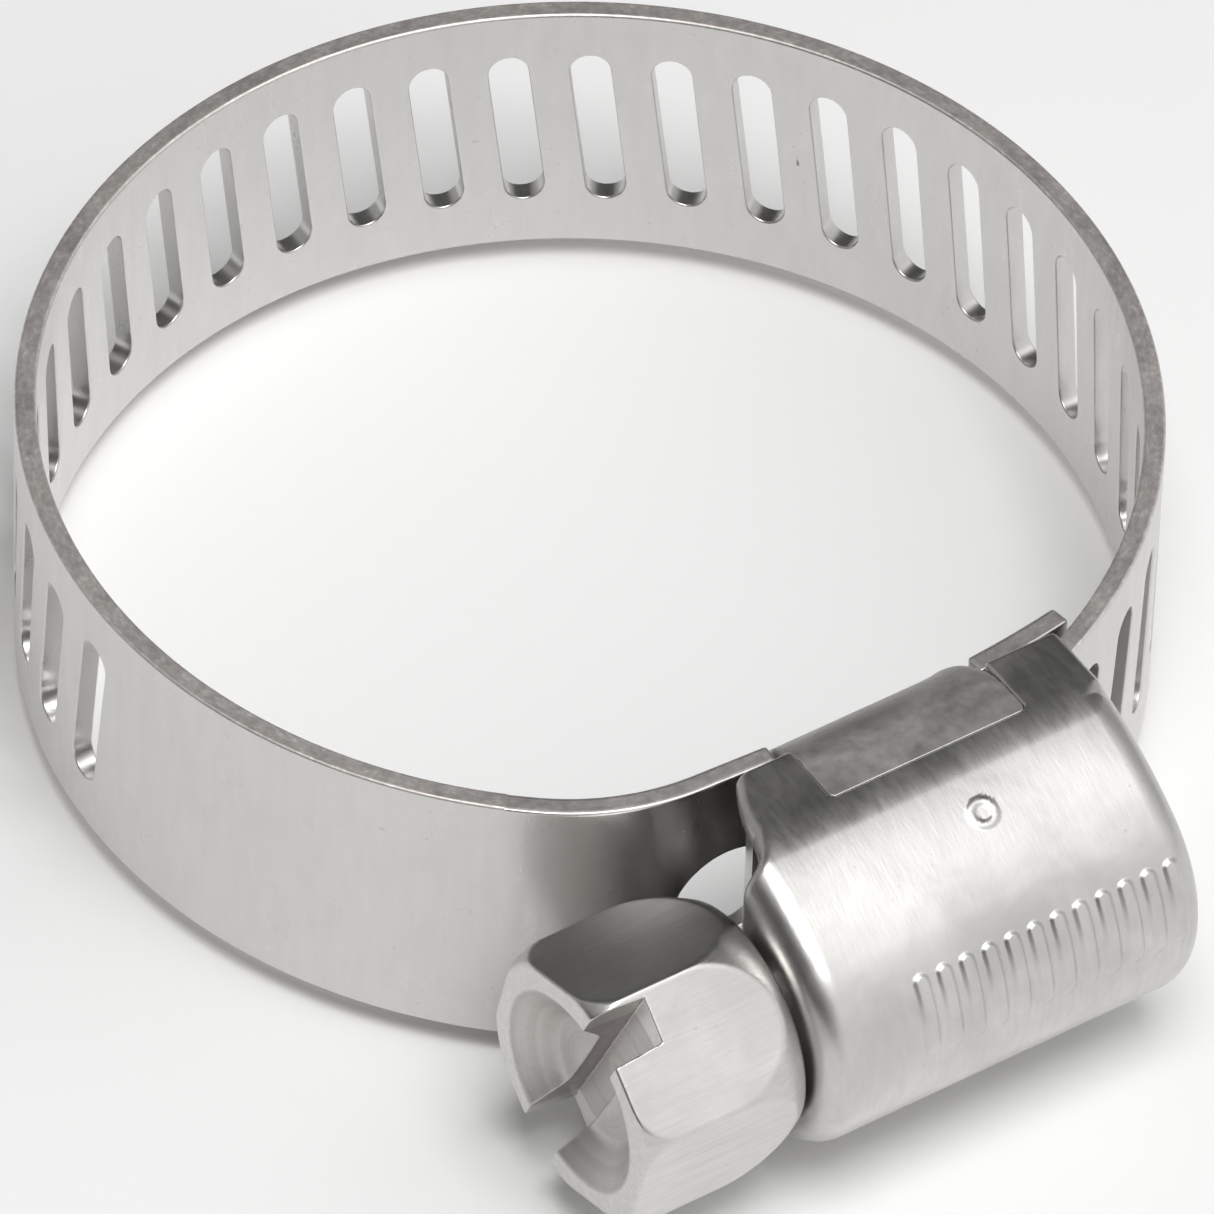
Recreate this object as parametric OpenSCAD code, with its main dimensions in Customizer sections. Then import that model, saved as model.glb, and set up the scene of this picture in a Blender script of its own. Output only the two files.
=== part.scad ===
// Miniature worm-drive hose clamp: perforated band, pressed housing, saddle and slotted hexagon screw.
// The origin is the centre of the ring at half the band's width. +Z is the ring's axis, +X runs along the screw
// from its head to the closed nose of the housing, and the housing is on the -Y side.

/* [Band] */
// Width of the band
band_w = 7.94; // [7.5:0.01:7.94]
// Thickness of the band
band_t = 0.55; // [0.45:0.01:0.55]
// Inside radius of the ring
ring_r = 13.65; // [13.63:0.01:13.67]
// Gap between neighbouring lengths of the band
hinge_gap = 0.06; // [0.05:0.01:0.12]

/* [Slots] */
// Width of each slot
slot_w = 1.05; // [0.95:0.01:1.1]
// Height of each slot
slot_h = 5.0; // [4.6:0.1:5.2]
// Slant of each slot from the band's width
slot_tilt = 7.1; // [6.5:0.1:7.5]
// Distance from slot to slot, which is the screw's pitch
pitch = 2.117; // [2.11:0.001:2.12]

/* [Housing] */
// Thickness of the pressed sheet
shell_t = 0.55; // [0.5:0.01:0.55]
// Outside half width over the side walls
wall_z = 4.55; // [4.55:0.01:4.6]
// Outside radius of the barrel
barrel_r = 3.72; // [3.68:0.01:3.75]
// Distance from the ring's centre to the screw's axis
screw_y = 16.25; // [16.2:0.01:16.3]
// Inside radius of the collar
collar_r = 2.05; // [2.03:0.01:2.2]

/* [Saddle] */
// Length of the saddle along the screw
saddle_l = 5.65; // [5:0.05:5.65]
// Thickness of the saddle
saddle_t = 0.34; // [0.3:0.01:0.34]
// Inner face of the saddle's base, measured along Y
saddle_y = -11.85; // [-11.86:0.01:-11.8]
// Outside radius of the saddle's corners
saddle_bend = 1.9; // [1.7:0.05:1.95]

/* [Screw] */
// Width of the hexagon across its flats
hex_af = 6.35; // [6.2:0.01:6.35]
// Radius that the hexagon's corners are turned to along the middle of the head
head_r = 3.66; // [3.6:0.01:3.66]
// Length of the head
head_l = 4.95; // [4.6:0.05:5.1]
// Radius of the thread's crest
crest_r = 2.78; // [2.7:0.01:2.8]
// Radius of the thread's core
core_r = 1.45; // [1.35:0.01:1.5]
// Width of the driver slot
driver_w = 1.1; // [0.9:0.05:1.2]
// Depth of the driver slot
driver_d = 1.4; // [1.2:0.05:1.5]

/* [Hidden] */
$fn = 96;
mid_r = ring_r + band_t / 2;
// Angles round the ring where one length of the band turns on the next
turn_1 = 205;
turn_2 = 95.25;
turn_3 = -18;
// Angle of the last slot before the plain stretch
slot_0 = 178;
ang = 180 / PI;
half_gap = hinge_gap / 2 / mid_r * ang;
// Centre and radius of the curve that the free end slides along in the housing
guide_c = [-0.35, -0.3];
guide_r = mid_r + 0.15;
// The free end leaves the ring at turn_3 on an easier curve that meets the guide curve
leave_1 = turn_3 + 90;
leave_v = -guide_c - 0.15 * [sin(leave_1), -cos(leave_1)];
leave_m = atan2(leave_v[1], leave_v[0]);
leave_2 = 2 * leave_m - leave_1;
leave_r = guide_r + norm(leave_v) / (2 * sin((leave_1 - leave_2) / 2));
leave_c = guide_c - (leave_r - guide_r) * [sin(leave_2), -cos(leave_2)];
tail_a = -16;
// Distances along the band from the last slot
s_turn_3 = (slot_0 - turn_3) / ang * mid_r;
s_guide = s_turn_3 + leave_r * (leave_1 - leave_2) / ang;
s_tail = s_guide + guide_r * (leave_2 - tail_a) / ang;
// Slot that the thread is centred on, and its place along the screw
slot_mid = round((s_guide + guide_r * leave_2 / ang) / pitch);
slot_mid_a = leave_2 - (slot_mid * pitch - s_guide) / guide_r * ang;
thread_x = guide_c[0] + guide_r * sin(slot_mid_a);
// Stations along the screw
head_back = -6.15;
head_front = head_back - head_l;
// The hexagon's corners are rounded off over this length at the front, and from this station on to the back,
// where they clear the free end as it slides out past the head
front_round = 0.9;
back_round_x = -8.7;
// Angle of the hexagon's first corner from -Y towards +Z
hex_turn = 17;
barrel_x0 = -5.85;
barrel_x1 = 4.95;
wall_x0 = -4.75;
wall_x1 = 4.8;
thread_x0 = -3.2;
thread_x1 = 3.9;
// Half height left between the fixed end's notches
notch_z = 2.85;
// Round hole through the fixed end, partly inside the housing
hole_x = -4.15;
hole_z = -0.15;
hole_r = 1.45;

// A length of band that follows an arc about c from angle a0 to a1
module arc_strip(c, r, a0, a1) {
  translate([c[0], c[1], 0]) rotate([0, 0, a0])
    rotate_extrude(angle = a1 - a0) translate([r - band_t / 2, -band_w / 2]) square([band_t, band_w]);
}

module slot_cut(c, r, a) {
  translate([c[0], c[1], 0.05]) rotate([0, 0, a]) translate([r - 1, 0, 0]) rotate([-slot_tilt, 0, 0])
    rotate([90, 0, 90]) linear_extrude(2) {
      translate([-slot_w / 2, -(slot_h - slot_w) / 2]) square([slot_w, slot_h - slot_w]);
      for (s = [-1, 1]) translate([0, s * (slot_h - slot_w) / 2]) circle(d = slot_w, $fn = 32);
    }
}

module ring_length(a0, a1) {
  difference() {
    arc_strip([0, 0], mid_r, a0 + half_gap, a1 - half_gap);
    for (k = [0:22]) {
      a = slot_0 - k * pitch / mid_r * ang;
      if (a > a0 + 2 && a < a1 - 2) slot_cut([0, 0], mid_r, a);
    }
  }
}

module band_left_length() { color([0.80, 0.79, 0.77]) ring_length(turn_2, turn_1); }
module band_right_length() { color([0.78, 0.77, 0.75]) ring_length(turn_3, turn_2); }

// A length of band through a row of arcs, each [centre, radius, first angle, last angle], joined by straight stretches
module strip(arcs) {
  side = function(d) [for (q = arcs, i = [0:ceil(abs(q[3] - q[2]) / 2.5)]) let (
    n = ceil(abs(q[3] - q[2]) / 2.5), a = q[2] + (q[3] - q[2]) * i / n)
    if (i > 0 || q == arcs[0] || q[4] == "straight") q[0] + (q[1] + d) * [cos(a), sin(a)]];
  out = side(band_t / 2);
  inn = side(-band_t / 2);
  linear_extrude(band_w, center = true) polygon(concat(out, [for (i = [len(inn) - 1:-1:0]) inn[i]]));
}

// The plain end: it leaves the ring, turns to run along the housing and is clinched under the screw
module band_fixed_end() {
  bend_a = 232.5;
  bend_r = 6.5;
  bend = 35;
  bend_c = (mid_r - bend_r) * [cos(bend_a), sin(bend_a)];
  flat_a = bend_a + bend;
  flat_dir = [-sin(flat_a), cos(flat_a)];
  tip_r = 27;
  tip_c = bend_c + 4.8 * flat_dir + (bend_r - tip_r) * [cos(flat_a), sin(flat_a)];
  color([0.76, 0.75, 0.73]) difference() {
    strip([
      [[0, 0], mid_r, turn_1 + half_gap, bend_a, ""],
      [bend_c, bend_r, bend_a, flat_a, ""],
      [tip_c, tip_r, flat_a, flat_a + 12.5, "straight"]]);
    // notches for the saddle's corners
    for (s = [-1, 1]) translate([-saddle_l / 2 - 0.07, -14, s * (notch_z + 2) - 2]) cube([saddle_l + 0.14, 4, 4]);
    // round hole beside the saddle
    translate([hole_x, -14, hole_z]) rotate([-90, 0, 0]) cylinder(h = 4, r = hole_r);
  }
}

// The slotted end: it passes outside the plain end and under the screw
module band_free_end() {
  color([0.79, 0.78, 0.76]) difference() {
    strip([
      [leave_c, leave_r, leave_1 - 90 - half_gap, leave_2 - 90, ""],
      [guide_c, guide_r, leave_2 - 90, tail_a - 90, ""]]);
    for (k = [0:40]) {
      s = k * pitch;
      if (s > s_turn_3 + 0.6 && s <= s_guide) slot_cut(leave_c, leave_r, leave_1 - 90 - (s - s_turn_3) / leave_r * ang);
      if (s > s_guide && s < s_tail - 1.1) slot_cut(guide_c, guide_r, leave_2 - 90 - (s - s_guide) / guide_r * ang);
    }
  }
}

// Section of the housing across the screw, moved inwards by t: two side walls, two sloped flanks and a round crown
module cap_section(t) {
  flank = atan2(3.33, 1.67);
  r = barrel_r - t;
  z = wall_z - t;
  crease = r * cos(flank) - (z - r * sin(flank)) * tan(flank);
  side = [[-3.15, z], [crease, z]];
  crown = [for (i = [0:20]) let (a = flank * (1 - i / 10)) r * [cos(a), sin(a)]];
  polygon(concat(side, crown, [[crease, -z], [-3.15, -z]]));
}

// Stands a flat section across the screw: its x runs to -Y and its y to +Z
module across(x0, x1) {
  translate([x0, -screw_y, 0]) rotate([90, 0, 90]) mirror([1, 0, 0]) linear_extrude(x1 - x0) children();
}

// A solid turned about the screw's axis from a profile of [station along X, radius]
module turned(p) {
  translate([0, -screw_y, 0]) rotate([0, 90, 0]) rotate_extrude() polygon([for (q = p) [q[1], q[0]]]);
}

module housing_cap() {
  r = barrel_r;
  t = shell_t;
  color([0.82, 0.81, 0.79]) difference() {
    union() {
      across(wall_x0, barrel_x1) cap_section(0);
      turned([[barrel_x0, 0], [barrel_x0, r - 0.6], [barrel_x0 + 0.25, r - 0.2], [barrel_x0 + 0.6, r - 0.06], [wall_x0 + 0.3, r - 0.06], [wall_x0 + 0.3, 0]]);
    }
    across(wall_x0 - 0.2, barrel_x1 - t) cap_section(t);
    turned([[barrel_x0 + t, 0], [barrel_x0 + t, r - t - 0.2], [wall_x0, r - t - 0.1], [wall_x0, 0]]);
    turned([[barrel_x0 - 1, 0], [barrel_x0 - 1, collar_r], [barrel_x0 + 1, collar_r], [barrel_x0 + 1, 0]]);
    // eased edges round the closed nose
    translate([barrel_x1, -screw_y - r, 0]) rotate([0, 0, 45]) cube([4, 1.1, 12], center = true);
    for (s = [-1, 1]) translate([barrel_x1, -screw_y, s * wall_z]) rotate([0, s * 45, 0]) cube([4, 12, 1.1], center = true);
    // the way through for the band
    translate([-8, -13.97, -4]) cube([16, 4, 8]);
    // notches for the saddle's tabs
    for (s = [-1, 1]) translate([-saddle_l / 2 - 0.08, -15.02, s * 4.5 - 0.75]) cube([saddle_l + 0.16, 6, 1.5]);
  }
}

// A flat base with two tabs turned up on rounded corners
module saddle() {
  l = saddle_l;
  t = saddle_t;
  z = wall_z + 0.1;
  zc = z - saddle_bend;
  yc = saddle_y - saddle_bend;
  color([0.62, 0.61, 0.60]) translate([-l / 2, 0, 0]) {
    translate([0, saddle_y - t, -zc]) cube([l, t, 2 * zc]);
    for (s = [-1, 1]) {
      translate([0, -14.93, s * (z - t / 2) - t / 2]) cube([l, 14.93 + yc, t]);
      translate([0, yc, s * zc]) rotate([90, 0, 90]) rotate([0, 0, s > 0 ? 0 : -90])
        rotate_extrude(angle = 90) translate([saddle_bend - t, 0]) square([t, l]);
    }
  }
}

module screw() {
  color([0.72, 0.71, 0.69]) {
    difference() {
      intersection() {
        translate([head_front, -screw_y, 0]) rotate([0, 90, 0]) rotate([0, 0, 30 - hex_turn])
          cylinder(h = head_l, r = hex_af / sqrt(3), $fn = 6);
        turned(concat([[head_front, 0]],
          [for (i = [0:5]) let (d = front_round * (1 - i / 5)) [head_front + front_round - d, head_r - 0.45 * d * d]],
          [for (i = [0:8]) let (d = (head_back - back_round_x) * i / 8) [back_round_x + d, head_r - 0.06 - 0.16 * d * d]],
          [[head_back, 0]]));
      }
      // dished front
      turned([[head_front - 1, 0], [head_front - 1, 2.75], [head_front, 2.75], [head_front + 0.78, 1.78],
        [head_front + 0.86, 0]]);
      translate([head_front - 1, -screw_y, 0]) rotate([24.8, 0, 0]) translate([0, -driver_w / 2, -5])
        cube([1 + driver_d, driver_w, 10]);
    }
    turned([[head_back - 0.5, 0], [head_back - 0.5, 1.9], [-4.3, 1.9], [-4.0, core_r], [4.1, core_r], [4.2, core_r - 0.1], [4.2, 0]]);
    thread();
  }
}

// Right-hand worm thread: a ridge swept along a helix, its ends sunk into the core
module thread() {
  n = 24;
  turns = (thread_x1 - thread_x0) / pitch;
  m = floor(turns * n);
  root = 0.42;
  top = 0.2;
  pts = [for (i = [0:m]) let (
      x = thread_x0 + i * pitch / n,
      a = (x - thread_x) / pitch * 360,
      e = min(1, i / n, (m - i) / (n / 3)),
      rc = core_r - 0.1 + (crest_r - core_r + 0.1) * e,
      rb = core_r - 0.15)
    each [
      [x - root, -screw_y + rb * cos(a), rb * sin(a)],
      [x - top, -screw_y + rc * cos(a), rc * sin(a)],
      [x + top, -screw_y + rc * cos(a), rc * sin(a)],
      [x + root, -screw_y + rb * cos(a), rb * sin(a)]]];
  faces = [
    for (i = [0:m - 1], j = [0:3]) let (k = (j + 1) % 4)
      each [[4 * i + j, 4 * i + k, 4 * i + 4 + k], [4 * i + j, 4 * i + 4 + k, 4 * i + 4 + j]],
    [0, 3, 2, 1],
    [4 * m, 4 * m + 1, 4 * m + 2, 4 * m + 3]];
  polyhedron(pts, faces);
}

housing_cap();
saddle();
screw();
band_fixed_end();
band_left_length();
band_right_length();
band_free_end();
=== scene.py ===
import math

import bpy
import numpy as np
from mathutils import Matrix, Vector


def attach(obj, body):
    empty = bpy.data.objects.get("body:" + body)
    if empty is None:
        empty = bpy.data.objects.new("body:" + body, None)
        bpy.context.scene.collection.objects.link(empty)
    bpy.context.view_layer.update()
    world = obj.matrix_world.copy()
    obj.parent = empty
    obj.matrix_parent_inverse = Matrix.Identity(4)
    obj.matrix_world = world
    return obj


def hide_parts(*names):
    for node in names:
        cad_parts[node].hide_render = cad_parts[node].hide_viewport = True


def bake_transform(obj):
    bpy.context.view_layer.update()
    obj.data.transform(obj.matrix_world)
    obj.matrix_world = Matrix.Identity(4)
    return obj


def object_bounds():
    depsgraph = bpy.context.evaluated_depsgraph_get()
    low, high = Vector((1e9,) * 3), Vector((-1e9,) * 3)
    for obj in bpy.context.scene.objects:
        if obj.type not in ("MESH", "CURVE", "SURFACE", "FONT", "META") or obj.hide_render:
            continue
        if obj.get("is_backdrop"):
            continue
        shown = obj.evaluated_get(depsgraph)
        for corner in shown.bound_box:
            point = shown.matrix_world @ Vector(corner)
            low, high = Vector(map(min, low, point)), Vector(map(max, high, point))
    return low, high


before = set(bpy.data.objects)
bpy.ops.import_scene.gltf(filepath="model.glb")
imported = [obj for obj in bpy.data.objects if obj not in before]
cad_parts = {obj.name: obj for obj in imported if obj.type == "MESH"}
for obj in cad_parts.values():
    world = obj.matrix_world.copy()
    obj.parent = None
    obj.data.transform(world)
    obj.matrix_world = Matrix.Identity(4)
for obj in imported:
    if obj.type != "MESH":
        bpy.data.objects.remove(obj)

CAD_LO, CAD_HI = [list(v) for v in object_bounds()]
MM = 0.001

# ---------------------------------------------------------------------------
# Sizes, in millimetres, as in the CAD model
# ---------------------------------------------------------------------------
BAND_W, BAND_T, RING_R = 7.94, 0.55, 13.65
MID_R = RING_R + BAND_T / 2
SLOT_W, SLOT_H, SLOT_TILT, PITCH = 1.05, 5.0, math.radians(7.1), 2.117
SLOT_0 = 178.0
TURN_1, TURN_2, TURN_3 = 205.0, 95.25, -18.0
SCREW_Y = -16.25
HEAD_BACK, HEAD_L = -6.15, 4.95
HEAD_FRONT = HEAD_BACK - HEAD_L
HEX_TURN = math.radians(17)
BARREL_R, SHELL_T, WALL_Z = 3.72, 0.55, 4.55
GUIDE_C = np.array([-0.35, -0.3])
GUIDE_R = MID_R + 0.15
TAIL_A = -16.0


# ---------------------------------------------------------------------------
# Meshes from signed distance functions
# ---------------------------------------------------------------------------
def smax(a, b, k):
    """Intersection with a rounded edge of radius about k."""
    h = np.clip(k - np.abs(a - b), 0, None) / k
    return np.maximum(a, b) + h * h * k * 0.25


def smin(a, b, k):
    return -smax(-a, -b, k)


def rmax(a, b, r):
    """Intersection with a true round of radius r."""
    u = np.maximum(a + r, 0)
    v = np.maximum(b + r, 0)
    return np.minimum(np.maximum(a, b), -r) + np.sqrt(u * u + v * v)


def surface_nets(f, lo, hi, h, newton=4):
    lo, hi = np.array(lo, float), np.array(hi, float)
    n = np.ceil((hi - lo) / h).astype(int) + 1
    ax = [lo[i] + h * np.arange(n[i]) for i in range(3)]
    vals = np.empty(n, np.float64)
    for i in range(0, n[0], 16):  # in slabs, to keep the arrays small
        X, Y, Z = np.meshgrid(ax[0][i:i + 16], ax[1], ax[2], indexing="ij")
        vals[i:i + 16] = f(X, Y, Z)
    vals[np.abs(vals) < 1e-9] = 1e-9
    ins = vals < 0
    cells = tuple(n - 1)
    acc = np.zeros(cells + (3,))
    cnt = np.zeros(cells, np.int32)
    edges = []
    for a in range(3):
        s0 = [slice(None)] * 3
        s1 = [slice(None)] * 3
        s0[a], s1[a] = slice(0, -1), slice(1, None)
        v0, v1 = vals[tuple(s0)], vals[tuple(s1)]
        m = ins[tuple(s0)] != ins[tuple(s1)]
        t = np.where(m, v0 / np.where(m, v0 - v1, 1), 0)
        edges.append((m, ins[tuple(s0)]))
        others = [b for b in range(3) if b != a]
        shape = [1, 1, 1]
        shape[a] = n[a] - 1
        pa = (ax[a][:-1].reshape(shape) + t * h) * m
        for o0 in (0, 1):
            for o1 in (0, 1):
                sl = [slice(None)] * 3
                sl[others[0]] = slice(o0, n[others[0]] - 1 + o0)
                sl[others[1]] = slice(o1, n[others[1]] - 1 + o1)
                ms = m[tuple(sl)]
                cnt += ms
                acc[..., a] += pa[tuple(sl)]
                for b, o in zip(others, (o0, o1)):
                    sh = [1, 1, 1]
                    sh[b] = n[b] - 1
                    acc[..., b] += ms * ax[b][o:n[b] - 1 + o].reshape(sh)
    used = cnt > 0
    idx = -np.ones(cells, np.int64)
    idx[used] = np.arange(used.sum())
    v = acc[used] / cnt[used][:, None]
    quads = []
    for a in range(3):
        m, inside = edges[a]
        b, c = (a + 1) % 3, (a + 2) % 3
        I = np.argwhere(m)
        keep = (I[:, b] > 0) & (I[:, c] > 0) & (I[:, b] < n[b] - 1) & (I[:, c] < n[c] - 1)
        I = I[keep]
        flip = ~inside[tuple(I.T)]
        corner = []
        for db, dc in ((-1, -1), (0, -1), (0, 0), (-1, 0)):
            J = I.copy()
            J[:, b] += db
            J[:, c] += dc
            corner.append(idx[tuple(J.T)])
        q = np.stack(corner, 1)
        q[flip] = q[flip][:, ::-1]
        quads.append(q)
    q = np.concatenate(quads)
    e = 2e-3

    def grad(p):
        x, y, z = p.T
        return np.stack([f(x + e, y, z) - f(x - e, y, z), f(x, y + e, z) - f(x, y - e, z), f(x, y, z + e) - f(x, y, z - e)], 1) / (2 * e)

    for _ in range(newton):
        g = grad(v)
        d = f(*v.T)
        step = -(d / np.maximum((g * g).sum(1), 0.05))[:, None] * g
        ln = np.linalg.norm(step, axis=1, keepdims=True)
        v = v + step * np.minimum(1, 0.5 * h / np.maximum(ln, 1e-12))
    g = grad(v)
    nrm = g / np.maximum(np.linalg.norm(g, axis=1, keepdims=True), 1e-9)
    return v, q, nrm


def make_mesh(name, v, faces, normals=None, material=None, attrs=None, loops=None):
    me = bpy.data.meshes.new(name)
    me.from_pydata((np.asarray(v) * MM).tolist(), [], [list(map(int, q)) for q in faces])
    me.polygons.foreach_set("use_smooth", [True] * len(me.polygons))
    for key, val in (attrs or {}).items():
        at = me.attributes.new(key, "FLOAT_VECTOR", "POINT")
        at.data.foreach_set("vector", np.asarray(val, np.float32).ravel())
    if loops is not None:
        me.normals_split_custom_set(np.asarray(loops).tolist())
    elif normals is not None:
        me.normals_split_custom_set_from_vertices(np.asarray(normals).tolist())
    me.update()
    ob = bpy.data.objects.new(name, me)
    bpy.context.scene.collection.objects.link(ob)
    if material:
        me.materials.append(material)
    return ob


# ---------------------------------------------------------------------------
# The line that the band follows, from the clinched tip round the ring to the free tip
# ---------------------------------------------------------------------------
def band_line():
    """Dense points and headings, found by turning along a row of arcs whose corners are eased."""
    bend_a, bend_r, bend = math.radians(232.5), 6.5, math.radians(35)
    flat_a = bend_a + bend
    bend_c = (MID_R - bend_r) * np.array([math.cos(bend_a), math.sin(bend_a)])
    # travel is from the tip (right) to the left, up and round clockwise; arcs are (length, curvature)
    tip_r, tip_turn = 27.0, math.radians(12.5)
    leave_1 = math.radians(TURN_3 + 90)
    lv = -GUIDE_C - 0.15 * np.array([math.sin(leave_1), -math.cos(leave_1)])
    leave_2 = 2 * math.atan2(lv[1], lv[0]) - leave_1
    leave_r = GUIDE_R + np.linalg.norm(lv) / (2 * math.sin((leave_1 - leave_2) / 2))
    tail = math.radians(TAIL_A)
    arcs = [
        (tip_r * tip_turn, 1 / tip_r), (4.8, 0.0), (bend_r * bend, 1 / bend_r),
        (MID_R * (bend_a - math.radians(TURN_3)), 1 / MID_R),
        (leave_r * (leave_1 - leave_2), 1 / leave_r),
        (GUIDE_R * (leave_2 - tail), 1 / GUIDE_R)]
    ds = 0.01
    total = sum(a[0] for a in arcs)
    s = np.arange(0, total + ds / 2, ds)
    k = np.zeros_like(s)
    at = 0.0
    marks = [0.0]
    for ln, kk in arcs:
        k[(s >= at - 1e-9) & (s < at + ln)] = kk
        at += ln
        marks.append(at)
    k[s >= at - 1e-9] = arcs[-1][1]
    w = int(0.9 / ds)
    kern = np.hanning(w + 2)[1:-1]
    kern /= kern.sum()
    ks = np.convolve(np.pad(k, (w, w), mode="edge"), kern, mode="same")[w:-w]
    # clockwise travel: heading falls as s grows; at bend_a the heading is bend_a - 90 degrees
    i0 = int(round((marks[3]) / ds))
    head = -np.concatenate([[0], np.cumsum((ks[1:] + ks[:-1]) / 2 * ds)])
    head += (bend_a - math.pi / 2) - head[i0]
    dx, dy = np.cos(head), np.sin(head)
    x = np.concatenate([[0], np.cumsum((dx[1:] + dx[:-1]) / 2 * ds)])
    y = np.concatenate([[0], np.cumsum((dy[1:] + dy[:-1]) / 2 * ds)])
    p0 = MID_R * np.array([math.cos(math.radians(90)), math.sin(math.radians(90))])
    # pin the line to the ring at its far side
    j = int(round((marks[3] + MID_R * (bend_a - math.radians(90))) / ds))
    x += p0[0] - x[j]
    y += p0[1] - y[j]
    s_of = lambda deg: marks[3] + MID_R * (bend_a - math.radians(deg))
    return s, x, y, head, total, s_of


S_, X_, Y_, H_, TOTAL, s_of = band_line()
S_SLOT0 = s_of(SLOT_0)


def on_band(s, z, n):
    """Point of the band at distance s along it, height z, and n outwards from its middle."""
    x, y, h = np.interp(s, S_, X_), np.interp(s, S_, Y_), np.interp(s, S_, H_)
    # outward is to the left of clockwise travel
    return np.stack([x - np.sin(h) * n, y + np.cos(h) * n, z + 0 * s], -1)


SLOTS = [S_SLOT0 + k * PITCH for k in range(60) if S_SLOT0 + k * PITCH < TOTAL - 1.1]

M_SIDE = 40
K_TOP = 10
RINGS = 5
EDGE_R = 0.085


def stadium(count_side, count_top):
    """Points of the slot's edge and of its cell's edge, matched one to one, going round: right, top, left, bottom."""
    hw, hh = SLOT_W / 2, SLOT_H / 2
    straight = hh - hw
    per_q = hw * math.pi / 2
    zs = np.linspace(-BAND_W / 2, BAND_W / 2, count_side + 1)
    us = np.linspace(PITCH / 2, -PITCH / 2, count_top + 1)
    outer = [(PITCH / 2, z) for z in zs[:-1]] + [(u, BAND_W / 2) for u in us[:-1]]
    outer += [(-a, -b) for a, b in outer]
    outer = np.array(outer)

    def right(z):
        """Gives back the height z unchanged."""
        return z

    # distance round the right half of the slot, from its bottom to its top
    half = 2 * per_q + 2 * straight
    # side points take the middle of that length, top points the rest
    share = 0.9
    t_side = (np.arange(count_side) / count_side - 0.5) * share * half
    # ease, so that the heights match on the straight part
    t_top = share * half / 2 + (np.arange(count_top) / count_top) * (2 * half * (1 - share) / 2)
    t = np.concatenate([t_side, t_top])
    t = np.concatenate([t, t + half])

    def edge(t):
        t = (t + half / 2) % (2 * half) - half / 2
        left = t > half / 2
        tt = np.where(left, t - half, t)
        a = np.abs(tt)
        ang = np.clip((a - straight) / hw, 0, math.pi / 2)
        u = hw * np.cos(ang)
        z = np.minimum(a, straight) + hw * np.sin(ang)
        z = np.sign(tt) * z
        u = np.where(left, -u, u)
        z = np.where(left, -z, z)
        return u, z

    u, z = edge(t)
    nu = np.where(np.abs(z) > straight, u, np.sign(u + 1e-12) * hw)
    nz = np.where(np.abs(z) > straight, z - np.sign(z) * straight, 0)
    ln = np.hypot(nu, nz)
    return np.stack([u, z], 1), np.stack([nu / ln, nz / ln], 1), outer


def tilt(p):
    """Leans the slot: its top goes back along the travel."""
    c, s = math.cos(SLOT_TILT), math.sin(SLOT_TILT)
    return np.stack([p[..., 0] * c - p[..., 1] * s, p[..., 0] * s + p[..., 1] * c], -1)


class Sheet:
    """Collects the band's points as (s, z, n), each with its normal in the same terms, and welds the ones that meet."""

    def __init__(self):
        self.v, self.nrm, self.q, self.flat, self.key = [], [], [], {}, {}

    def add(self, p, nrm):
        k = (round(p[0] * 2000), round(p[1] * 2000), round(p[2] * 2000))
        if k not in self.key:
            self.key[k] = len(self.v)
            self.v.append(p)
            self.nrm.append(nrm)
        return self.key[k]

    def face(self, f, flip=False, flat=None):
        f = [x for n, x in enumerate(f) if x != f[n - 1]]
        if len(f) >= 3:
            if flat is not None:
                self.flat[len(self.q)] = flat
            self.q.append(f[::-1] if flip else f)

    def grid(self, rows, normals, closed=False, flip=False, flat=None):
        """rows and normals: lists of lists of triples of equal length."""
        ids = [[self.add(tuple(p), tuple(g)) for p, g in zip(r, m)] for r, m in zip(rows, normals)]
        m = len(ids[0])
        for a, b in zip(ids[:-1], ids[1:]):
            for i in range(m if closed else m - 1):
                j = (i + 1) % m
                self.face([a[i], a[j], b[j], b[i]], flip, flat)


def edge_profile(r, t):
    """(inset, n, outward share, face share) going from the inner face's rim over the edge to the outer face's rim."""
    a = np.radians([0, 22.5, 45, 67.5, 90])
    lo = [(r - r * math.sin(x), -t / 2 + r - r * math.cos(x), math.sin(x), -math.cos(x)) for x in a]
    hi = [(i, -n, o, -f) for i, n, o, f in lo[::-1]]
    return lo, hi


def rough(s, z, seed, size):
    """A smooth, repeatable unevenness."""
    return (np.sin(s * 5.1 + seed) * np.sin(z * 4.3 + seed * 1.7) + np.sin(s * 11.7 + z * 7.9 + seed * 2.3) * 0.6) * size


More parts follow.
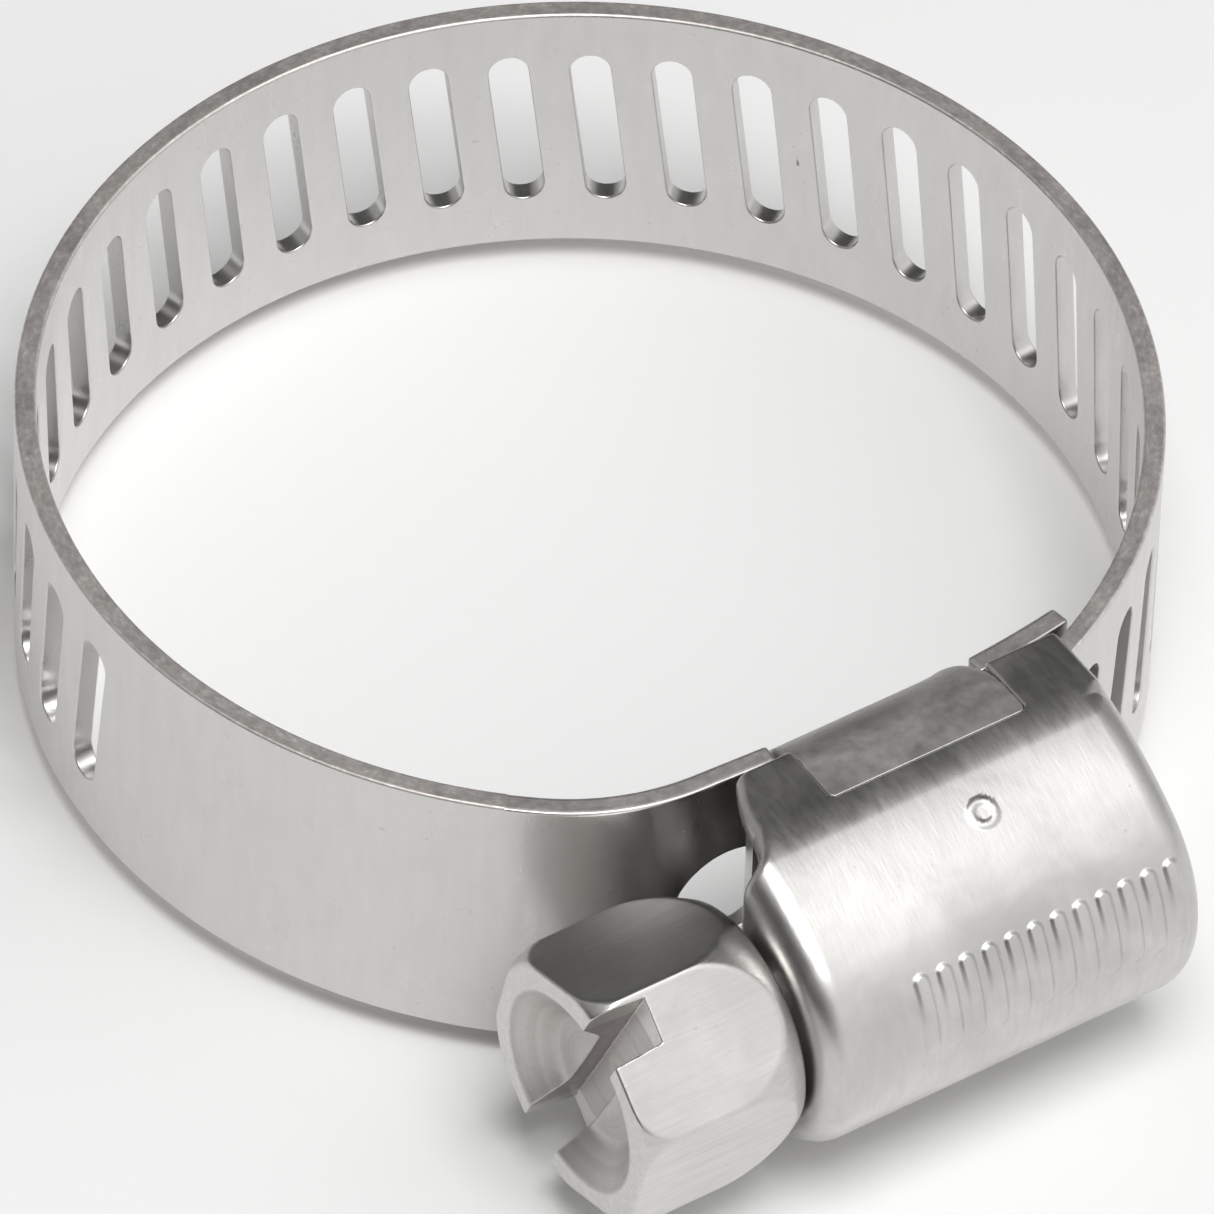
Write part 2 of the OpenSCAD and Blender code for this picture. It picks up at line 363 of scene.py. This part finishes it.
def band_piece(s0, s1):
    """The band from s0 to s1: cells with a slot, plain cells between, eased long edges, and square ends."""
    sh = Sheet()
    hole, hn, outer = stadium(M_SIDE, K_TOP)
    hn_t = tilt(hn)
    zs = np.linspace(-BAND_W / 2, BAND_W / 2, M_SIDE + 1)
    cells = [c for c in SLOTS if c - PITCH / 2 > s0 - 1e-6 and c + PITCH / 2 < s1 + 1e-6]
    lim = BAND_W / 2 - EDGE_R
    edges = [s0] + [e for c in cells for e in (c - PITCH / 2, c + PITCH / 2)] + [s1]
    step = PITCH / K_TOP
    plain = [(a, b) for a, b in zip(edges[0::2], edges[1::2]) if b - a > 1e-4]

    def zmap(z):
        return np.clip(z, -BAND_W / 2, BAND_W / 2) * (lim / (BAND_W / 2))

    rim = 0.055
    for side in (-1, 1):
        n = side * BAND_T / 2
        flip = side < 0
        up = (0.0, 0.0, float(side))
        for c in cells:
            ht = tilt(hole + hn * rim) + np.array([0, 0.05])
            o = outer.copy()
            o[:, 1] = zmap(o[:, 1])
            rows = []
            for r in range(RINGS + 1):
                f = (r / RINGS) ** 1.3
                p = ht * (1 - f) + o * f
                rows.append([(c + u, z, n) for u, z in p])
            sh.grid(rows, [[up] * len(rows[0])] * len(rows), closed=True, flip=not flip)
        for a, b in plain:
            m = max(1, int(math.ceil((b - a) / step)))
            rows = [[(s, z, n) for z in zmap(zs)] for s in np.linspace(a, b, m + 1)]
            sh.grid(rows, [[up] * len(rows[0])] * len(rows), flip=flip)
    # slot walls: a small roll at each rim and a broken-out look between
    lo, hi = edge_profile(rim, BAND_T)
    mid = [(0.0, x, 1.0, 0.0) for x in np.linspace(lo[-1][1], hi[0][1], 8)[1:-1]]
    prof = lo + mid + hi
    for ci, c in enumerate(cells):
        rows, norms = [], []
        for inset, n, out, face in prof:
            w = (1 - min(1, abs(n) / (BAND_T / 2)) ** 2) * (n > -0.2)
            wob = rough(hole[:, 0] * 4 + ci * 3.1, hole[:, 1] * 3 + n * 9, ci * 1.3, 0.009) * w
            p = tilt(hole + hn * (inset + wob)[:, None]) + np.array([0, 0.05])
            rows.append([(c + u, z, n) for u, z in p])
            norms.append([(-g[0] * out, -g[1] * out, face) for g in hn_t])
        sh.grid(rows, norms, closed=True)
    # long edges
    lo, hi = edge_profile(EDGE_R, BAND_T)
    prof = lo + [(0.0, 0.0, 1.0, 0.0)] + hi
    ss = set()
    for c in cells:
        ss |= {round(c + u, 9) for u in np.linspace(-PITCH / 2, PITCH / 2, K_TOP + 1)}
    for a, b in plain:
        m = max(1, int(math.ceil((b - a) / step)))
        ss |= {round(x, 9) for x in np.linspace(a, b, m + 1)}
    ss = sorted(ss)
    ss = [s for i, s in enumerate(ss) if i == 0 or s - ss[i - 1] > 1e-5]
    for top in (-1, 1):
        rows = [[(s, top * (BAND_W / 2 - i), n) for i, n, _, _ in prof] for s in ss]
        norms = [[(0.0, top * o, f) for _, _, o, f in prof] for _ in ss]
        sh.grid(rows, norms, flip=top > 0)
    # square ends
    for s, sgn in ((s0, -1), (s1, 1)):
        end = (float(sgn), 0.0, 0.0)
        rows = [[(s, z, n) for n in (-BAND_T / 2, BAND_T / 2)] for z in zmap(zs)]
        sh.grid(rows, [[end] * 2] * len(rows), flip=sgn < 0, flat=end)
        for top in (-1, 1):
            ids = [sh.add((s, top * (BAND_W / 2 - i), n), end) for i, n, _, _ in prof]
            sh.face(ids, flip=sgn * top > 0, flat=end)
    return sh


def frame_at(s):
    """Directions along the band and outwards from it, at distance s."""
    h = np.interp(s, S_, H_)
    return np.stack([np.cos(h), np.sin(h), 0 * h], -1), np.stack([-np.sin(h), np.cos(h), 0 * h], -1)


def turn_out(nrm, s):
    """From (along, up, outwards) to the part's own axes."""
    along, out = frame_at(s)
    return along * nrm[:, :1] + out * nrm[:, 2:3] + np.array([0, 0, 1.0]) * nrm[:, 1:2]


def band_object(name, s0, s1, material):
    sh = band_piece(s0, s1)
    p = np.array(sh.v)
    co = on_band(p[:, 0], p[:, 1], p[:, 2])
    nv = turn_out(np.array(sh.nrm), p[:, 0])
    faces, loops = [], []
    for i, f in enumerate(sh.q):
        c = co[f]
        g = np.cross(c - c[0], np.roll(c, -1, axis=0) - c[0]).sum(0)
        if i in sh.flat:
            flat = turn_out(np.array([sh.flat[i]]), p[f[:1], 0])[0]
            want = np.array([flat] * len(f))
        else:
            want = nv[f]
        if g @ want.sum(0) < 0:
            f, want = f[::-1], want[::-1]
        faces.append(f)
        loops.extend(want)
    return make_mesh(name, co, faces, None, material, {"run": p}, loops)


HOLE_X, HOLE_Z, HOLE_R = -4.15, -0.15, 1.45


def fixed_tip_sdf(s, z, n):
    """The clinched end of the band, told in the band's own terms."""
    # the tip is cut sharper than the long edges
    d = rmax(np.abs(z) - BAND_W / 2, np.abs(n) - BAND_T / 2, 0.03 + (EDGE_R - 0.03) * np.clip((s - 3.6) / 0.8, 0, 1))
    x = np.interp(s, S_, X_)
    # notches that the saddle's corners pass through
    notch = np.maximum(np.abs(x) - 2.895, 2.85 - np.abs(z))
    d = smax(d, -notch, 0.12)
    # rounded corners at the tip
    d = smax(d, rmax(-s, np.abs(z) - BAND_W / 2, 0.14), 0.1)
    d = smax(d, -s, 0.06)
    # round hole
    hole = np.hypot(s - S_HOLE, z - HOLE_Z) - HOLE_R
    return smax(d, -hole, 0.12)


S_HOLE = float(S_[np.argmin(np.abs(X_[S_ < 14] - HOLE_X))])


def fixed_tip_object(name, s1, material):
    h = 0.075

    def f(s, z, n):
        return np.maximum(fixed_tip_sdf(s, z, n), s - s1)

    v, q, nrm = surface_nets(f, (-0.3, -4.3, -0.5), (s1 + 0.3, 4.3, 0.5), h)
    # the far end is cut square, where the next length of band carries on
    end = v[:, 0] > s1 - 0.9 * h
    v[end, 0] = s1
    # its rim is put back on the band's own outline
    rim = end & (fixed_tip_sdf(*v.T) > -0.6 * h)
    for _ in range(4):
        g = fixed_grad(v[rim])[:, 1:]
        ln = np.maximum((g * g).sum(1), 0.1)
        v[rim, 1:] -= (fixed_tip_sdf(*v[rim].T) / ln)[:, None] * g
    run = v.copy()
    co = on_band(v[:, 0], v[:, 1], v[:, 2])
    g = fixed_grad(v)
    nv = turn_out(g, v[:, 0])
    along = turn_out(np.array([[1.0, 0, 0]]), np.array([s1]))[0]
    loops = []
    q = q[:, ::-1]
    for f4 in q:
        cap = all(end[x] for x in f4)
        loops += [along if cap else nv[x] for x in f4]
    return make_mesh(name, co, q, None, material, {"run": run}, loops)


def fixed_grad(p):
    e = 2e-3
    s, z, n = p.T
    f = fixed_tip_sdf
    g = np.stack([f(s + e, z, n) - f(s - e, z, n), f(s, z + e, n) - f(s, z - e, n), f(s, z, n + e) - f(s, z, n - e)], 1)
    return g / np.maximum(np.linalg.norm(g, axis=1, keepdims=True), 1e-12)


# ---------------------------------------------------------------------------
# Housing, saddle and screw as distance functions
# ---------------------------------------------------------------------------
FLANK = math.radians(52.3)
FLANK_R = 10.0


def cap_outer2(u, v):
    """Across the screw: u is outwards from the screw's axis, v the height; negative inside."""
    d = FLANK_R - BARREL_R
    crown = np.where(np.arctan2(v, u) < FLANK, np.hypot(u, v) - BARREL_R,
                     np.hypot(u + d * math.cos(FLANK), v + d * math.sin(FLANK)) - FLANK_R)
    return rmax(v - WALL_Z, crown, 0.16)


def bump_up(d, w):
    """1 where d is below 0, falling smoothly to 0 at w."""
    s = np.clip(1 - d / w, 0, 1)
    return s * s * (3 - 2 * s)


def emboss(x, u, z):
    """A row of plain raised ribs round the crown and a small ring on the flank."""
    a = np.degrees(np.arctan2(z, u))
    i = np.clip(np.round((x - 0.25) / 0.66), -5, 6)
    dx = np.abs(x - 0.25 - i * 0.66)
    rib = rmax(dx - 0.10, np.abs(a - 20) * 0.065 - 1.05, 0.1)
    out = 0.075 * bump_up(rib, 0.17)
    rr = np.hypot(x - 0.30, (np.arctan2(z + 5.0, u + 3.8) - RING_A) * FLANK_R)
    out = out + 0.035 * bump_up(np.abs(rr - 0.31) - 0.02, 0.14) * (z > 1)
    return out


# direction of the small ring on the flank, seen from the flank's centre
RING_A = math.atan2(9.0, 4.4)


def housing_sdf(x, y, z):
    u = SCREW_Y - y
    v = np.abs(z)
    f2 = cap_outer2(u, v)
    # the nose is round over the crown and the flanks, and nearly square at the walls
    shoulder = np.clip((u + 1.3) / 0.35, 0, 1)
    body = rmax(f2, x - 4.95 - 0.16 * shoulder, 0.24 + 0.66 * shoulder)
    body = rmax(body, -6.0 - x, 0.85)
    body = body - emboss(x, u, z)
    # the walls end on a slant that runs up to the shoulder, rolled over at its outer edge
    slant = (x - (-4.44 - 0.36 * (u + 3.05) - 0.11 * np.sin(np.pi * np.clip((u + 3.05) / 1.7, 0, 1)))) * 0.941
    cut = rmax(slant, u + 0.55, 0.35)
    shell = np.maximum(rmax(body, -cut, 0.34), -(body + SHELL_T))
    # the screw's way through the collar
    shell = smax(shell, np.where(x < -4, 2.05 - np.hypot(u, z), -9.0), 0.12)
    # the band's way through
    way = np.maximum(v - 4.0, u + 2.28)
    shell = smax(shell, -way, 0.10)
    # the walls' lower edge
    shell = smax(shell, -(u + 3.15), 0.12)
    # notches for the tabs
    notch = rmax(np.abs(x) - 2.84, u + 1.305, 0.17)
    notch = np.maximum(notch, 3.9 - v)
    shell = smax(shell, -notch, 0.05)
    return shell


def saddle_sdf(x, y, z):
    t = 0.34
    rb, zt = 1.9, np.where(z > 0, WALL_Z - 0.02, WALL_Z + 0.08)
    v = np.abs(z)
    # the end towards the nose is pressed down on both sides of the band
    beside = np.clip((v - 3.0) / 0.6, 0, 1)
    yb = -11.85 + beside * (0.06 * np.exp(-((x - 2.2) / 0.28) ** 2) - 0.38 * np.clip((x - 2.42) / 0.42, 0, 1) ** 2)
    yc, zc = yb - rb, zt - rb
    # outline of the U: outer surface distance
    d = np.where((y > yc) & (v > zc), np.hypot(y - yc, v - zc) - rb, np.maximum(y - yb, v - zt))
    shell = np.maximum(d, -(d + t))
    # tab ends and side edges with rounded corners
    e = rmax(-14.93 - y, np.abs(x) - 2.825, 0.16)
    return smax(shell, e, 0.02)


def head_sdf(x, y, z):
    u, w = y - SCREW_Y, z
    r = np.hypot(u, w)
    c, s = math.cos(HEX_TURN), math.sin(HEX_TURN)
    a, b = u * c - w * s, u * s + w * c
    hexd = np.maximum.reduce([np.abs(b), np.abs(a * 0.8660254 + b * 0.5), np.abs(a * 0.8660254 - b * 0.5)]) - 3.175
    # the corners are turned down on a curve, short at the front and long at the back
    front, back = np.maximum(-10.2 - x, 0), np.maximum(x + 8.5, 0)
    slope = 0.9 * front + 0.26 * back
    d = smax(hexd, (r - 3.66 + 0.45 * front ** 2 + 0.13 * back ** 2) / np.sqrt(1 + slope * slope), 0.05)
    d = smax(d, HEAD_FRONT - x, 0.12)
    d = smax(d, x - HEAD_BACK, 0.2)
    # dished front
    dx = x - HEAD_FRONT
    cup = smax((r - 2.62) * 0.615 + dx * 0.789, dx - 0.84 + 0.04 * r, 0.12)
    d = smax(d, -cup, 0.07)
    c, s = math.cos(math.radians(24.8)), math.sin(math.radians(24.8))
    across = u * c + w * s
    slot = np.maximum(np.abs(across) - 0.645 + 0.07 * dx, dx - 1.4)
    return smax(d, -slot, 0.05)


def worm_sdf(x, y, z):
    u, w = y - SCREW_Y, z
    r = np.hypot(u, w)
    neck = rmax(r - 1.9, x + 4.25, 0.1)
    core = rmax(r - 1.42, x - 4.2, 0.2)
    shaft = np.maximum(smin(neck, core, 0.25), HEAD_BACK - 0.3 - x)
    a = np.arctan2(w, u) / (2 * math.pi) * PITCH
    ph = (x - THREAD_X - a + PITCH / 2) % PITCH - PITCH / 2
    fade = np.clip(np.minimum((x + 3.3) / 2.0, (3.85 - x) / 0.8), 0, 1)
    top = 1.35 + 1.40 * fade
    ridge = smax(np.abs(ph) * 0.97 + (r - 2.75) * 0.145 - 0.2, r - top, 0.08)
    ridge = np.maximum(ridge, np.maximum(-3.4 - x, x - 3.95))
    return smin(shaft, ridge, 0.12)


def thread_start():
    """Place of the slot under the worm that the thread is centred on."""
    i = int(np.argmin([abs(np.interp(s, S_, X_) - GUIDE_C[0]) if s > TOTAL / 2 else 99 for s in SLOTS]))
    return float(np.interp(SLOTS[i], S_, X_))


THREAD_X = thread_start()


# ---------------------------------------------------------------------------
# Materials
# ---------------------------------------------------------------------------
def node_kit(mat):
    nt = mat.node_tree
    nt.nodes.clear()
    out = nt.nodes.new("ShaderNodeOutputMaterial")
    bsdf = nt.nodes.new("ShaderNodeBsdfPrincipled")
    nt.links.new(bsdf.outputs[0], out.inputs[0])

    def add(kind, **kw):
        n = nt.nodes.new(kind)
        for k, v in kw.items():
            setattr(n, k, v)
        return n

    return nt, bsdf, add


def scaled(nt, add, source, scale, rot=(0, 0, 0)):
    m = add("ShaderNodeMapping")
    m.inputs["Scale"].default_value = scale
    m.inputs["Rotation"].default_value = rot
    nt.links.new(source, m.inputs["Vector"])
    return m.outputs[0]


def noise(nt, add, vec, scale, detail=3.0, rough=0.55, dist=0.0):
    n = add("ShaderNodeTexNoise")
    n.inputs["Scale"].default_value = scale
    n.inputs["Detail"].default_value = detail
    n.inputs["Roughness"].default_value = rough
    n.inputs["Distortion"].default_value = dist
    nt.links.new(vec, n.inputs["Vector"])
    return n.outputs["Fac"]


def ramp(nt, add, fac, stops):
    r = add("ShaderNodeValToRGB")
    els = r.color_ramp.elements
    while len(els) < len(stops):
        els.new(0.5)
    for e, (p, c) in zip(els, stops):
        e.position = p
        e.color = (*c, 1) if len(c) == 3 else c
    nt.links.new(fac, r.inputs[0])
    return r.outputs[0]


def rng(nt, add, fac, a, b, lo, hi):
    m = add("ShaderNodeMapRange")
    m.inputs["From Min"].default_value = a
    m.inputs["From Max"].default_value = b
    m.inputs["To Min"].default_value = lo
    m.inputs["To Max"].default_value = hi
    nt.links.new(fac, m.inputs["Value"])
    return m.outputs[0]


def math_node(nt, add, op, a, b=None):
    m = add("ShaderNodeMath", operation=op)
    for i, x in enumerate((a, b)):
        if x is None:
            continue
        if isinstance(x, (int, float)):
            m.inputs[i].default_value = x
        else:
            nt.links.new(x, m.inputs[i])
    return m.outputs[0]


def mix(nt, add, fac, a, b):
    m = add("ShaderNodeMix", data_type="RGBA")
    nt.links.new(fac, m.inputs["Factor"]) if not isinstance(fac, float) else setattr(m.inputs["Factor"], "default_value", fac)
    for key, x in (("A", a), ("B", b)):
        sock = [i for i in m.inputs if i.name == key and i.type == "RGBA"][0]
        if isinstance(x, tuple):
            sock.default_value = (*x, 1)
        else:
            nt.links.new(x, sock)
    return [o for o in m.outputs if o.type == "RGBA"][0]


def steel(name, base, rough_lo, rough_hi, grain, grain_depth, mottle=0.05, attr=None, streaks=0.10):
    """Stainless steel: grain is the scale of the fine marks on each axis, long where the number is small."""
    mat = bpy.data.materials.new(name)
    mat.use_nodes = True
    nt, b, add = node_kit(mat)
    if attr:
        src = add("ShaderNodeAttribute", attribute_name=attr).outputs["Vector"]
    else:
        tc = add("ShaderNodeTexCoord")
        mm = add("ShaderNodeVectorMath", operation="SCALE")
        mm.inputs["Scale"].default_value = 1000.0
        nt.links.new(tc.outputs["Object"], mm.inputs[0])
        src = mm.outputs[0]
    fine = noise(nt, add, scaled(nt, add, src, grain), 1.0, 4.0, 0.6)
    fine2 = noise(nt, add, scaled(nt, add, src, tuple(g * 3.1 for g in grain)), 1.0, 2.0, 0.5)
    cloud = noise(nt, add, scaled(nt, add, src, (0.45, 0.45, 0.45)), 1.0, 3.0, 0.6, 0.6)
    speck = noise(nt, add, scaled(nt, add, src, (6, 6, 6)), 1.0, 2.0, 0.5)
    lo = tuple(c * (1 - mottle) for c in base)
    hi = tuple(min(1, c * (1 + mottle)) for c in base)
    col = ramp(nt, add, cloud, [(0.3, lo), (0.7, hi)])
    streak = rng(nt, add, fine, 0.3, 0.7, 0.0, 1.0)
    col = mix(nt, add, math_node(nt, add, "MULTIPLY", streak, streaks), col, tuple(c * 0.72 for c in base))
    pit = rng(nt, add, speck, 0.70, 0.78, 0.0, 0.35)
    col = mix(nt, add, pit, col, tuple(c * 0.55 for c in base))
    r = rng(nt, add, cloud, 0.3, 0.7, rough_lo, rough_hi)
    r = math_node(nt, add, "ADD", r, rng(nt, add, fine, 0.3, 0.7, -0.04, 0.05))
    nt.links.new(col, b.inputs["Base Color"])
    nt.links.new(r, b.inputs["Roughness"])
    b.inputs["Metallic"].default_value = 1.0
    bump = add("ShaderNodeBump")
    bump.inputs["Strength"].default_value = grain_depth
    bump.inputs["Distance"].default_value = 0.000008
    h = math_node(nt, add, "ADD", fine, math_node(nt, add, "MULTIPLY", fine2, 0.5))
    nt.links.new(h, bump.inputs["Height"])
    nt.links.new(bump.outputs[0], b.inputs["Normal"])
    return mat, nt, b, add, src, col, r


BAND_MAT, nt, b, add, src, col, rgh = steel("band_steel", (0.66, 0.65, 0.635), 0.27, 0.36, (3.0, 0.5, 3.0), 0.35, 0.03, "run")
# the sheared long edges are darker, browner and rougher than the rolled faces, with bright specks
sep = add("ShaderNodeSeparateXYZ")
nt.links.new(src, sep.inputs[0])
absz = math_node(nt, add, "ABSOLUTE", sep.outputs[1])
at_edge = rng(nt, add, absz, BAND_W / 2 - 0.06, BAND_W / 2 - 0.02, 0.0, 1.0)
speck2 = noise(nt, add, scaled(nt, add, src, (5.0, 9.0, 9.0)), 1.0, 3.0, 0.7)
edge_col = ramp(nt, add, speck2, [(0.3, (0.62, 0.58, 0.55)), (0.55, (0.76, 0.72, 0.69)), (0.72, (0.93, 0.91, 0.88))])
col2 = mix(nt, add, at_edge, col, edge_col)
nt.links.new(col2, b.inputs["Base Color"])
rr = math_node(nt, add, "ADD", rgh, math_node(nt, add, "MULTIPLY", at_edge, 0.22))
nt.links.new(rr, b.inputs["Roughness"])

CAP_MAT = steel("housing_steel", (0.61, 0.60, 0.585), 0.31, 0.39, (5.0, 1.0, 1.0), 0.38, 0.10, None, 0.22)[0]
SADDLE_MAT = steel("saddle_steel", (0.64, 0.625, 0.61), 0.46, 0.56, (3.0, 2.2, 2.2), 0.35, 0.10)[0]
SCREW_MAT, nt, b, add, src, col, rgh = steel("screw_steel", (0.66, 0.65, 0.63), 0.30, 0.38, (0.6, 8.0, 8.0), 0.45, 0.06, None, 0.45)
sep = add("ShaderNodeSeparateXYZ")
nt.links.new(src, sep.inputs[0])
yy = math_node(nt, add, "ADD", sep.outputs[1], -SCREW_Y)
rad = math_node(nt, add, "SQRT", math_node(nt, add, "ADD", math_node(nt, add, "MULTIPLY", yy, yy), math_node(nt, add, "MULTIPLY", sep.outputs[2], sep.outputs[2])))
# the dished front and the slot floor of the head get a darker colour: painted shade in the recess, with the concentric
# turned rings in it; they are also made a little rougher
in_cup = math_node(nt, add, "MULTIPLY", rng(nt, add, rad, 2.70, 2.60, 0.0, 1.0), rng(nt, add, sep.outputs[0], HEAD_FRONT + 1.6, HEAD_FRONT + 1.5, 0.0, 1.0))
comb = add("ShaderNodeCombineXYZ")
nt.links.new(rad, comb.inputs[0])
nt.links.new(math_node(nt, add, "MULTIPLY", sep.outputs[0], 0.9), comb.inputs[1])
rings = noise(nt, add, scaled(nt, add, comb.outputs[0], (3.6, 3.6, 1.0)), 1.0, 3.0, 0.6)
cup_rings_and_painted_shade = ramp(nt, add, rings, [(0.3, (0.41, 0.385, 0.37)), (0.7, (0.56, 0.53, 0.515))])
col = mix(nt, add, math_node(nt, add, "MULTIPLY", in_cup, 0.85), col, cup_rings_and_painted_shade)
nt.links.new(col, b.inputs["Base Color"])
nt.links.new(math_node(nt, add, "ADD", rgh, math_node(nt, add, "MULTIPLY", in_cup, 0.10)), b.inputs["Roughness"])

# ---------------------------------------------------------------------------
# Build
# ---------------------------------------------------------------------------
S_SEAM1 = s_of(SLOT_0 - PITCH / MID_R * 180 / math.pi * 2.5)
S_SEAM2 = s_of(SLOT_0 - PITCH / MID_R * 180 / math.pi * 16.5)


S_TIP = 15.5
b0 = fixed_tip_object("band_clinched_end", S_TIP, BAND_MAT)
b1 = band_object("band_near_half", S_TIP, S_SEAM1, BAND_MAT)
b2 = band_object("band_far_half", S_SEAM1, S_SEAM2, BAND_MAT)
b3 = band_object("band_free_half", S_SEAM2, TOTAL, BAND_MAT)
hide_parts("band_fixed_end")
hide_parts("band_left_length")
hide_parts("band_right_length")
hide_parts("band_free_end")
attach(b0, "housing")
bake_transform(b1)
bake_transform(b2)
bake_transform(b3)

H = 0.07
v, q, nrm = surface_nets(housing_sdf, (-6.4, -20.5, -5.1), (5.4, -12.8, 5.1), H)
cap = make_mesh("housing_shell", v, q, nrm, CAP_MAT)
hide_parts("housing_cap")
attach(cap, "housing")

v, q, nrm = surface_nets(saddle_sdf, (-3.2, -15.3, -5.0), (3.2, -11.5, 5.0), 0.07)
sad = make_mesh("saddle_strap", v, q, nrm, SADDLE_MAT)
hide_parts("saddle")
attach(sad, "housing")

v, q, nrm = surface_nets(head_sdf, (HEAD_FRONT - 0.3, SCREW_Y - 3.9, -3.9), (HEAD_BACK + 0.3, SCREW_Y + 3.9, 3.9), 0.055)
head = make_mesh("screw_head", v, q, nrm, SCREW_MAT)
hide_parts("screw")
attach(head, "screw")

v, q, nrm = surface_nets(worm_sdf, (HEAD_BACK - 0.5, SCREW_Y - 3.1, -3.1), (4.5, SCREW_Y + 3.1, 3.1), 0.09)
worm = make_mesh("screw_worm", v, q, nrm, SCREW_MAT)
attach(worm, "screw")

# ---------------------------------------------------------------------------
# Camera, floor and light
# ---------------------------------------------------------------------------
F_PX, DIST, EL, ROLL, UX, UY, AZ = 16880.15, 419.3959, 0.79764636, 0.03591271, -0.46407146, 2.41950204, math.radians(-34.5)


def rotz(a):
    c, s = math.cos(a), math.sin(a)
    return np.array([[c, -s, 0], [s, c, 0], [0, 0, 1.0]])


fwd = rotz(AZ) @ np.array([0, math.cos(EL), -math.sin(EL)])
right = rotz(AZ) @ np.array([1.0, 0, 0])
up = np.cross(right, fwd)
r_ = math.cos(ROLL) * right + math.sin(ROLL) * up
u_ = -math.sin(ROLL) * right + math.cos(ROLL) * up
C = -UX * r_ - UY * u_ - DIST * fwd
cam_data = bpy.data.cameras.new("camera")
cam_data.sensor_width = 36.0
cam_data.lens = 36.0 * F_PX / 1214
cam_data.clip_start, cam_data.clip_end = 0.02, 5.0
cam = bpy.data.objects.new("camera", cam_data)
m = Matrix.Identity(4)
for i in range(3):
    m[i][0], m[i][1], m[i][2], m[i][3] = r_[i], u_[i], -fwd[i], C[i] * MM
cam.matrix_world = m
bpy.context.scene.collection.objects.link(cam)
bpy.context.scene.camera = cam

floor_mat = bpy.data.materials.new("floor")
floor_mat.use_nodes = True
fb = floor_mat.node_tree.nodes["Principled BSDF"]
fb.inputs["Base Color"].default_value = (0.93, 0.93, 0.925, 1)
fb.inputs["Roughness"].default_value = 0.9
fb.inputs["Specular IOR Level"].default_value = 0.1
fm = bpy.data.meshes.new("floor")
fz = -4.66 * MM
fm.from_pydata([(-2, -2, fz), (2, -2, fz), (2, 2, fz), (-2, 2, fz)], [], [(0, 1, 2, 3)])
floor = bpy.data.objects.new("floor", fm)
fm.materials.append(floor_mat)
bpy.context.scene.collection.objects.link(floor)
floor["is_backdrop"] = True


def area(name, loc, target, size, power, col=(1, 1, 1)):
    ld = bpy.data.lights.new(name, "AREA")
    ld.shape = "RECTANGLE"
    ld.size, ld.size_y = size
    ld.energy = power
    ld.color = col
    ob = bpy.data.objects.new(name, ld)
    ob.location = loc
    ob.rotation_mode = "QUATERNION"
    ob.rotation_quaternion = (Vector(target) - Vector(loc)).to_track_quat("-Z", "Y")
    bpy.context.scene.collection.objects.link(ob)
    return ob


world = bpy.data.worlds.new("studio")
bpy.context.scene.world = world
world.use_nodes = True
wn = world.node_tree
bg = wn.nodes["Background"]


def wadd(kind, **kw):
    n = wn.nodes.new(kind)
    for k, v in kw.items():
        setattr(n, k, v)
    return n


wtc = wadd("ShaderNodeTexCoord")


def lobe(direction, inner, outer):
    """1 inside the inner angle of a direction, 0 past the outer angle."""
    d = wadd("ShaderNodeVectorMath", operation="DOT_PRODUCT")
    wn.links.new(wtc.outputs["Generated"], d.inputs[0])
    v = np.array(direction, float)
    d.inputs[1].default_value = tuple(v / np.linalg.norm(v))
    m = wadd("ShaderNodeMapRange", interpolation_type="SMOOTHSTEP")
    m.inputs["From Min"].default_value = math.cos(math.radians(outer))
    m.inputs["From Max"].default_value = math.cos(math.radians(inner))
    wn.links.new(d.outputs["Value"], m.inputs["Value"])
    return m.outputs[0]


def wmix(fac, a, b):
    m = wadd("ShaderNodeMix", data_type="FLOAT")
    wn.links.new(fac, m.inputs["Factor"])
    socks = {i.name: i for i in m.inputs if i.type == "VALUE"}
    for key, x in (("A", a), ("B", b)):
        if isinstance(x, float):
            socks[key].default_value = x
        else:
            wn.links.new(x, socks[key])
    return [o for o in m.outputs if o.type == "VALUE"][0]


W_BASE, W_SIDE, W_TOP, W_DARK = 0.40, 0.92, 1.35, 0.07
FWD, SIDE = np.array([0.566, 0.824, 0.0]), np.array([0.824, -0.566, 0.0])
UPZ = np.array([0, 0, 1.0])
level = wmix(lobe(SIDE * 0.75 - FWD * 0.6 + UPZ * 0.3, 25, 85), W_BASE, W_SIDE)
level = wmix(lobe((-0.9, -0.3, 0.22), 30, 62), level, 0.06)
level = wmix(lobe((0.39, -0.21, 0.89), 8, 32), level, W_TOP)
level = wmix(lobe(FWD * 0.70 + UPZ * 0.72, 27, 50), level, W_DARK)
wn.links.new(level, bg.inputs["Strength"])
bg.inputs[0].default_value = (1, 1, 1, 1)
top = area("light_top", (-0.03, -0.11, 0.30), (0, 0, 0), (0.16, 0.16), 0.62)

bpy.context.scene.view_settings.view_transform = "Standard"

LO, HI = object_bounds()
{"cad": [list(CAD_LO), list(CAD_HI)], "visual": [list(LO), list(HI)]}
